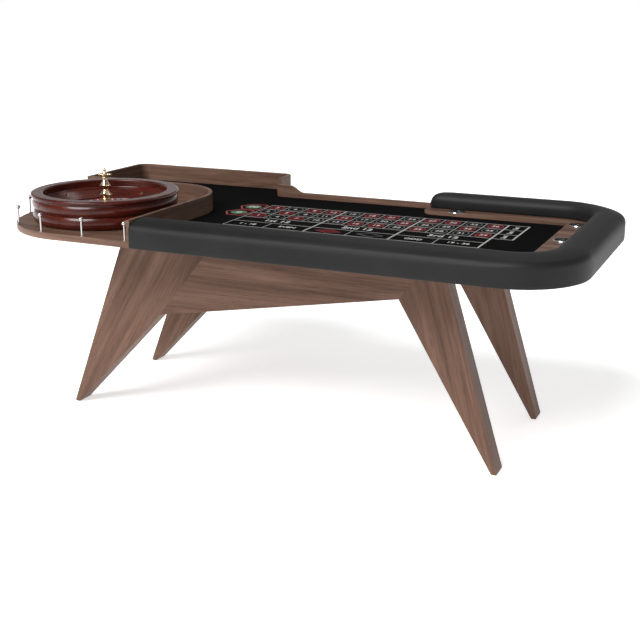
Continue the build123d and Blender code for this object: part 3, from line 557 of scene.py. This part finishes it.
def rail_pad_mesh():
    """The pad as a closed skin in rows of four-sided faces, and the set of points that the cloth pins."""
    skin, hollow = pad_section()
    centre = RAIL_WIDTH / 2
    points, faces, held = [], [], set()
    stations = rail_stations()
    loop = len(skin) + len(hollow)
    for place, inward in stations:
        on_back = inward.y < -0.5
        domed = min(1.0, max(0.02, (place.x - RAIL_BACK_END) / DOME)) if on_back else 1.0
        wide = (1 - (1 - domed) ** 4) ** 0.25
        tall = (1 - (1 - domed) ** 3) ** (1 / 3)
        coreless = on_back and place.x < CORE_BACK_END + 0.001
        for number, (offset, height) in enumerate(skin + hollow):
            if domed < 1:
                if number < len(skin):
                    offset = centre + (offset - centre) * wide
                    base = pad_base(offset)
                    height = base + max(0.0, height - base) * tall
                elif coreless:
                    share = (number - len(skin) + 1) / (len(hollow) + 1)
                    offset = centre + (RAIL_WIDTH * (0.5 - share)) * wide
                    height = pad_base(offset)
            here = place + inward * offset
            if number >= len(skin) or number in (0, 1, len(skin) - 1, len(skin) - 2):
                held.add(len(points))
            points.append((here.x, here.y, height))
    rows = len(stations)
    for row in range(rows - 1):
        for n in range(loop):
            m = (n + 1) % loop
            faces.append((row * loop + n, row * loop + m, (row + 1) * loop + m, (row + 1) * loop + n))

    def close(row):
        """Close an end face with faces that join the skin to the hollow in pairs."""
        ring = [row * loop + n for n in range(loop)]
        held.update(ring)
        half = len(skin)
        for n in range(half - 1):
            a, b = ring[n], ring[n + 1]
            share_a = half + round((1 - n / (half - 1)) * (len(hollow) - 1))
            share_b = half + round((1 - (n + 1) / (half - 1)) * (len(hollow) - 1))
            if share_a == share_b:
                faces.append((a, b, ring[share_a]))
            else:
                faces.append((a, b, ring[share_b], ring[share_a]))

    close(0)
    close(rows - 1)
    return points, faces, held


def stuffed(pad, held):
    """Swell the pad with the cloth solver, held at its hidden edges, then keep the swelling small."""
    rest = [v.co.copy() for v in pad.data.vertices]
    pins = pad.vertex_groups.new(name="pins")
    pins.add(sorted(held), 1.0, "REPLACE")
    cloth = pad.modifiers.new("cloth", "CLOTH")
    cloth.settings.quality = 5
    cloth.settings.mass = 0.4
    cloth.settings.tension_stiffness = 25
    cloth.settings.compression_stiffness = 25
    cloth.settings.shear_stiffness = 12
    cloth.settings.bending_stiffness = 6
    cloth.settings.vertex_group_mass = "pins"
    cloth.settings.use_pressure = True
    cloth.settings.uniform_pressure_force = 4.0
    cloth.settings.effector_weights.gravity = 0
    cloth.point_cache.frame_start = 1
    cloth.point_cache.frame_end = SWELL_FRAMES
    scene = bpy.context.scene
    for frame_number in range(1, SWELL_FRAMES + 1):
        scene.frame_set(frame_number)
    graph = bpy.context.evaluated_depsgraph_get()
    swollen = [v.co.copy() for v in pad.evaluated_get(graph).data.vertices]
    pad.modifiers.remove(cloth)
    scene.frame_set(1)
    for vertex, start, end in zip(pad.data.vertices, rest, swollen):
        step = end - start
        if step.length > PAD_SWELL:
            step *= PAD_SWELL / step.length
        vertex.co = start + step
    pad.vertex_groups.clear()


LEATHER = leather()
pad_points, pad_faces, pad_held = rail_pad_mesh()
rail_leather = piece_from("rail_leather", pad_points, pad_faces, LEATHER)
stuffed(rail_leather, pad_held)
finer = rail_leather.modifiers.new("finer", "SUBSURF")
finer.levels = 1
finer.render_levels = 1
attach(rail_leather, "table")
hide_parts("rail_pad")

# ---- stretched cloth ---------------------------------------------------------------------------------

CLOTH_GRID = 0.03


def layout_cloth_mesh():
    """The CAD outline of the cloth cut to a grid, slightly uneven, with a turned-down edge."""
    work = bmesh.new()
    work.from_mesh(NODES["felt_layout"].data)
    bmesh.ops.remove_doubles(work, verts=work.verts[:], dist=0.00001)
    bmesh.ops.dissolve_limit(work, angle_limit=math.radians(1), verts=work.verts[:], edges=work.edges[:])
    rim = [e for e in work.edges if len(e.link_faces) == 2
           and all(abs(v.co.z - CLOTH_TOP) < 0.0001 for v in e.verts)
           and min(abs(f.normal.z) for f in e.link_faces) < 0.5]
    bmesh.ops.bevel(work, geom=rim, offset=0.0012, segments=3, affect="EDGES", profile=0.5)
    for axis, low, high in ((0, FELT_LOW.x, FELT_HIGH.x), (1, FELT_LOW.y, FELT_HIGH.y)):
        for i in range(1, math.ceil((high - low) / CLOTH_GRID)):
            spot = [0.0, 0.0, 0.0]
            spot[axis] = low + i * CLOTH_GRID
            way = [0.0, 0.0, 0.0]
            way[axis] = 1.0
            whole = work.verts[:] + work.edges[:] + work.faces[:]
            bmesh.ops.bisect_plane(work, geom=whole, plane_co=spot, plane_no=way)
    bmesh.ops.triangulate(work, faces=[f for f in work.faces if len(f.verts) > 4])
    for v in work.verts:
        if v.co.z > CLOTH_TOP - 0.0002:
            v.co.z += 0.0001 * noise.noise(Vector((v.co.x * 9, v.co.y * 9, 0.4))) - 0.0001
    area = sum(f.calc_area() for f in work.faces if f.normal.z > 0.9)
    mesh = bpy.data.meshes.new("layout_cloth")
    work.to_mesh(mesh)
    work.free()
    mesh.shade_smooth()
    return mesh, area


cloth_mesh, cloth_area = layout_cloth_mesh()
CLOTH = woven("layout_cloth", (0.0006, 0.0006, 0.0007), (0.0024, 0.0024, 0.0027), 0.0, 0.05)
cloth_mesh.materials.clear()
cloth_mesh.materials.append(CLOTH)
layout_cloth = bpy.data.objects.new("layout_cloth", cloth_mesh)
bpy.context.scene.collection.objects.link(layout_cloth)
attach(layout_cloth, "table")
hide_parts("felt_layout")

# ---- printed layout ----------------------------------------------------------------------------------

PRINT_LOW = CLOTH_TOP - 0.0003
PRINT_TOP = CLOTH_TOP + 0.0003
COLUMNS = 12
GRID_LEFT = -0.284
GRID_RIGHT = 0.787
BOXES_RIGHT = 0.870
PITCH = (GRID_RIGHT - GRID_LEFT) / COLUMNS
ROW_LOW = -0.031
ROW_HIGH = 0.240
ROW = (ROW_HIGH - ROW_LOW) / 3
DOZEN_LOW = -0.118
OUTSIDE_LOW = -0.213
ZERO_LEFT = -0.410
THIN_LINE = 0.0030
THICK_LINE = 0.0072
# half sizes of the printed marks, along X and along Y
OVAL = (0.0290, 0.0350)
OVAL_RING = (0.0325, 0.0385)
ZERO_OVAL = (0.036, 0.034)
ZERO_DASH = (0.010, 0.004)
DIAMOND = (0.050, 0.0235)
DIAMOND_RING = (0.057, 0.0285)
DIAMOND_RING_INNER = (0.051, 0.0245)
OVAL_BAND = 0.0027
ZERO_BAND = 0.0066
# heights of the lettering
NUMBER_HEIGHT = 0.026
ZERO_HEIGHT = 0.034
COLUMN_HEIGHT = 0.020
DOZEN_HEIGHT = 0.034
OUTSIDE_HEIGHT = 0.023
REDS = {1, 3, 5, 7, 9, 12, 14, 16, 18, 19, 21, 23, 25, 27, 30, 32, 34, 36}


class Ink:
    """Flat printed shapes of one colour, gathered into one thin mesh."""

    def __init__(self, low=PRINT_LOW, top=PRINT_TOP):
        self.work = bmesh.new()
        self.low = low
        self.top = top

    def slab(self, outer, inner=None):
        """A closed slab on an outline, or between an outline and a like one inside it."""
        def ring(points, height):
            return [self.work.verts.new((x, y, height)) for x, y in points]
        top, low = ring(outer, self.top), ring(outer, self.low)
        count = len(outer)
        for i in range(count):
            j = (i + 1) % count
            self.work.faces.new((low[i], low[j], top[j], top[i]))
        if inner is None:
            self.work.faces.new(top)
            self.work.faces.new(low[::-1])
            return
        top_in, low_in = ring(inner, self.top), ring(inner, self.low)
        for i in range(count):
            j = (i + 1) % count
            self.work.faces.new((low_in[j], low_in[i], top_in[i], top_in[j]))
            self.work.faces.new((top[i], top[j], top_in[j], top_in[i]))
            self.work.faces.new((low[j], low[i], low_in[i], low_in[j]))

    def box(self, x0, x1, y0, y1):
        self.slab([(x0, y0), (x1, y0), (x1, y1), (x0, y1)])

    def oval(self, x, y, half_x, half_y, band=None, steps=40):
        def outline(shrink):
            return [(x + (half_x - shrink) * math.cos(math.tau * i / steps),
                     y + (half_y - shrink) * math.sin(math.tau * i / steps)) for i in range(steps)]
        self.slab(outline(0), outline(band) if band else None)

    def words(self, text, x, y, height, turn=0.0, wide=1.0, matrix=None):
        """Lettering as solid faces, centred on a point, or placed by a matrix."""
        curve = bpy.data.curves.new("lettering", "FONT")
        curve.body = text
        curve.size = height * 1.38
        curve.align_x = "CENTER"
        curve.align_y = "CENTER"
        curve.offset = height * 0.012
        curve.resolution_u = 5
        curve.extrude = (self.top - self.low) / 2
        made = bpy.data.objects.new("lettering", curve)
        bpy.context.scene.collection.objects.link(made)
        bpy.context.view_layer.update()
        mesh = bpy.data.meshes.new_from_object(made.evaluated_get(bpy.context.evaluated_depsgraph_get()))
        middle = (self.top + self.low) / 2
        place = matrix or (Matrix.Translation((x, y, middle)) @ Matrix.Rotation(turn, 4, "Z")
                           @ Matrix.Diagonal((wide, 1, 1, 1)))
        mesh.transform(place)
        self.work.from_mesh(mesh)
        bpy.data.objects.remove(made)
        bpy.data.curves.remove(curve)
        bpy.data.meshes.remove(mesh)

    def finish(self, name, material, body, slot):
        bmesh.ops.remove_doubles(self.work, verts=self.work.verts[:], dist=0.000001)
        bmesh.ops.recalc_face_normals(self.work, faces=self.work.faces[:])
        mesh = bpy.data.meshes.new(name)
        self.work.to_mesh(mesh)
        self.work.free()
        mesh.materials.append(material)
        made = bpy.data.objects.new(name, mesh)
        bpy.context.scene.collection.objects.link(made)
        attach(made, body)
        return made


white, red_fill, red_ring, black_fill, grey_ring, green = (Ink() for _ in range(6))
# the digits lie a hair above the ovals that they are printed on
digits = Ink(PRINT_LOW, PRINT_TOP + 0.0002)

# grid lines, with the thick ones running on through the dozens and the outside bets
for column in range(COLUMNS + 1):
    x = GRID_LEFT + column * PITCH
    thick = column % 4 == 0 and column > 0
    half = (THICK_LINE if thick else THIN_LINE) / 2
    white.box(x - half, x + half, OUTSIDE_LOW if column % 4 == 0 else ROW_LOW, ROW_HIGH)
for row in range(4):
    y = ROW_LOW + row * ROW
    white.box(GRID_LEFT, BOXES_RIGHT, y - THIN_LINE / 2, y + THIN_LINE / 2)
for y in (DOZEN_LOW, OUTSIDE_LOW):
    white.box(GRID_LEFT, GRID_RIGHT, y - THIN_LINE / 2, y + THIN_LINE / 2)
for half_dozen in (1, 3, 5):
    x = GRID_LEFT + half_dozen * 2 * PITCH
    white.box(x - THIN_LINE / 2, x + THIN_LINE / 2, OUTSIDE_LOW, DOZEN_LOW)
white.box(BOXES_RIGHT - THICK_LINE / 2, BOXES_RIGHT + THICK_LINE / 2, ROW_LOW, ROW_HIGH)

# numbers, each in its oval
for column in range(COLUMNS):
    for row in range(3):
        number = 3 * column + row + 1
        x = GRID_LEFT + (column + 0.5) * PITCH
        y = ROW_LOW + (row + 0.5) * ROW
        fill, ring = (red_fill, red_ring) if number in REDS else (black_fill, grey_ring)
        fill.oval(x, y, *OVAL)
        ring.oval(x, y, *OVAL_RING, band=OVAL_BAND)
        digits.words(str(number), x, y, NUMBER_HEIGHT, wide=0.92)

# the two zeros, elongated hexagons that point to the wheel
for text, low, high in (("0", ROW_LOW, ROW_LOW + 1.5 * ROW), ("00", ROW_LOW + 1.5 * ROW, ROW_HIGH)):
    def zero_outline(inset):
        left, right = ZERO_LEFT + inset * 1.3, GRID_LEFT - 0.010 - inset
        middle, bottom, top = (low + high) / 2, low + 0.006 + inset, high - 0.006 - inset
        shoulder = left + 0.036 - inset * 0.4
        return [(left, middle), (shoulder, bottom), (right - 0.012, bottom), (right, bottom + 0.014),
                (right, top - 0.014), (right - 0.012, top), (shoulder, top)]
    red_ring.slab(zero_outline(0), zero_outline(ZERO_BAND))
    middle = (low + high) / 2
    green.oval((ZERO_LEFT + GRID_LEFT) / 2 + 0.002, middle, *ZERO_OVAL)
    digits.words(text, (ZERO_LEFT + GRID_LEFT) / 2 + 0.002, middle, ZERO_HEIGHT, wide=0.95)
    for y in (middle - 0.040, middle + 0.040):
        red_fill.oval((ZERO_LEFT + GRID_LEFT) / 2 + 0.006, y, *ZERO_DASH)

# column boxes, dozens and outside bets
for row in range(3):
    digits.words("2 to 1", (GRID_RIGHT + BOXES_RIGHT) / 2, ROW_LOW + (row + 0.5) * ROW,
                 COLUMN_HEIGHT, math.radians(90), 0.85)
for dozen, text in enumerate(("1st 12", "2nd 12", "3rd 12")):
    digits.words(text, GRID_LEFT + (dozen + 0.5) * 4 * PITCH, (ROW_LOW + DOZEN_LOW) / 2, DOZEN_HEIGHT)
for place, text in ((0, "1 - 18"), (1, "EVEN"), (4, "ODD"), (5, "19 - 36")):
    digits.words(text, GRID_LEFT + (place + 0.5) * 2 * PITCH, (OUTSIDE_LOW + DOZEN_LOW) / 2, OUTSIDE_HEIGHT)
for place, fill, ring in ((2, red_fill, red_ring), (3, black_fill, grey_ring)):
    x, y = GRID_LEFT + (place + 0.5) * 2 * PITCH, (OUTSIDE_LOW + DOZEN_LOW) / 2

    def diamond(half_x, half_y):
        return [(x - half_x, y), (x, y - half_y), (x + half_x, y), (x, y + half_y)]
    fill.slab(diamond(*DIAMOND))
    ring.slab(diamond(*DIAMOND_RING), diamond(*DIAMOND_RING_INNER))

# name, ink, and the ink's material by its name, darkest and lightest shade, sheen and shine
INKS = (
    ("print_lines", white, ("ink_white", (0.34, 0.34, 0.33), (0.52, 0.52, 0.50), 0.02)),
    ("print_digits", digits, ("ink_digits", (0.50, 0.50, 0.49), (0.74, 0.74, 0.72), 0.05)),
    ("print_red", red_fill, ("ink_red", (0.075, 0.004, 0.006), (0.125, 0.008, 0.010), 0.0, 0.1)),
    ("print_red_rings", red_ring, ("ink_red_ring", (0.26, 0.055, 0.06), (0.38, 0.095, 0.10), 0.0, 0.1)),
    ("print_black", black_fill, ("ink_black", (0.0006, 0.0006, 0.0007), (0.0022, 0.0022, 0.0025), 0.0, 0.05)),
    ("print_grey_rings", grey_ring, ("ink_grey", (0.13, 0.13, 0.13), (0.22, 0.22, 0.22), 0.05)),
    ("print_green", green, ("ink_green", (0.075, 0.150, 0.080), (0.130, 0.230, 0.130), 0.0, 0.1)),
)
PRINTS = [ink.finish(name, woven(*shade), "table", "layout_cloth") for name, ink, shade in INKS]

# ---- numbers on the rotor ----------------------------------------------------------------------------

ROTOR_ORDER = ["0", 28, 9, 26, 30, 11, 7, 20, 32, 17, 5, 22, 34, 15, 3, 24, 36, 13, 1,
               "00", 27, 10, 25, 29, 12, 8, 19, 31, 18, 6, 21, 33, 16, 4, 23, 35, 14, 2]
RING_INNER_R = 0.1645
RING_OUTER_R = 0.1865
RING_INNER_Z = 0.873
RING_OUTER_Z = 0.881
ROTOR_NUMBER_HEIGHT = 0.0125
rotor_ink = Ink(0.0, 0.0004)
ring_slope = math.atan2(RING_OUTER_Z - RING_INNER_Z, RING_OUTER_R - RING_INNER_R)
middle_r = (RING_INNER_R + RING_OUTER_R) / 2
middle_z = (RING_INNER_Z + RING_OUTER_Z) / 2
for sector, number in enumerate(ROTOR_ORDER):
    angle = math.tau * (sector + 0.5) / len(ROTOR_ORDER)
    spot = WHEEL + Vector((middle_r * math.cos(angle), middle_r * math.sin(angle), middle_z + 0.0001))
    placed = (Matrix.Translation(spot) @ Matrix.Rotation(angle, 4, "Z") @ Matrix.Rotation(-ring_slope, 4, "Y")
              @ Matrix.Rotation(math.radians(-90), 4, "Z"))
    rotor_ink.words(str(number), 0, 0, ROTOR_NUMBER_HEIGHT, matrix=placed @ Matrix.Diagonal((0.95, 1, 1, 1)))
NUMBER_INK = moulded("number_ink", (0.62, 0.62, 0.60), (0.78, 0.78, 0.76), 0.2, 0.32)
rotor_ink.finish("rotor_numbers", NUMBER_INK, "rotor", "number_enamel")

# ---- floor, light and camera -------------------------------------------------------------------------

FLOOR_SIZE = 500
FLOOR_GLOW = 0.6
# grey of the sky by height, from the horizon up
SKY = ((0.0, 1.0), (0.07, 0.80), (0.20, 0.24), (0.90, 0.12))
# name, place, point that it faces, size and watts
SOFTBOXES = (
    ("top_light", (0.2, 0.3, 3.6), (0, 0, 0.8), (3.6, 2.2), 8),
    ("back_strip", (0.2, 3.1, 4.9), (0, 0, 0.9), (4.4, 0.9), 22),
    ("front_light", (-2.2, -4.6, 2.6), (0, 0, 0.6), (2.2, 1.8), 10),
    ("side_light", (4.4, -1.6, 2.2), (0.4, 0, 0.6), (1.8, 1.8), 3),
)
OPEN_LIGHT_STRENGTH = 3.4
OPEN_LIGHT_SPREAD = 34
OPEN_LIGHT_TILT = 46
OPEN_LIGHT_TURN = -16
CAMERA_PLACE = (1.8618, -3.9729, 1.711)
CAMERA_DOWN = 16.552
CAMERA_TURN = 24.467
LENS_LENGTH = 60.52

bpy.ops.mesh.primitive_plane_add(size=FLOOR_SIZE, location=(0, 0, 0))
floor = bpy.context.object
floor.name = "studio_floor"
floor_paint = Paint("studio_floor", roughness=0.9)
floor_paint.colour(floor_paint.ramp(floor_paint.noise(floor_paint.place, 0.8, 3), [(0.3, 0.90), (0.7, 0.93)]))
floor_paint.fixed(Emission_Color=(1, 1, 1, 1), Emission_Strength=FLOOR_GLOW)
floor.data.materials.append(floor_paint.material)

world = bpy.data.worlds.new("studio")
world.use_nodes = True
bpy.context.scene.world = world
sky = world.node_tree
backdrop = sky.nodes["Background"]
way = sky.nodes.new("ShaderNodeSeparateXYZ")
sky.links.new(sky.nodes.new("ShaderNodeTexCoord").outputs["Generated"], way.inputs[0])
fade = sky.nodes.new("ShaderNodeValToRGB")
while len(fade.color_ramp.elements) < len(SKY):
    fade.color_ramp.elements.new(0.5)
for stop, (height, grey) in zip(fade.color_ramp.elements, SKY):
    stop.position = height
    stop.color = (grey, grey, grey, 1)
sky.links.new(way.outputs[2], fade.inputs[0])
sky.links.new(fade.outputs[0], backdrop.inputs["Color"])
backdrop.inputs["Strength"].default_value = 1.0


def softbox(name, place, aim, size, power):
    lamp = bpy.data.lights.new(name, "AREA")
    lamp.shape = "RECTANGLE"
    lamp.size, lamp.size_y = size
    lamp.energy = power
    made = bpy.data.objects.new(name, lamp)
    made.location = place
    made.rotation_euler = (Vector(aim) - Vector(place)).to_track_quat("-Z", "Y").to_euler()
    bpy.context.scene.collection.objects.link(made)


for light in SOFTBOXES:
    softbox(*light)
sun = bpy.data.lights.new("open_light", "SUN")
sun.energy = OPEN_LIGHT_STRENGTH
sun.angle = math.radians(OPEN_LIGHT_SPREAD)
open_light = bpy.data.objects.new("open_light", sun)
open_light.rotation_euler = (math.radians(OPEN_LIGHT_TILT), 0, math.radians(OPEN_LIGHT_TURN))
bpy.context.scene.collection.objects.link(open_light)

lens = bpy.data.cameras.new("camera")
lens.lens = LENS_LENGTH
lens.sensor_width = 36
lens.clip_end = 200
camera = bpy.data.objects.new("camera", lens)
camera.location = CAMERA_PLACE
camera.rotation_euler = Euler((math.radians(90 - CAMERA_DOWN), 0, math.radians(CAMERA_TURN)))
bpy.context.scene.collection.objects.link(camera)
bpy.context.scene.camera = camera
bpy.context.scene.view_settings.view_transform = "Standard"
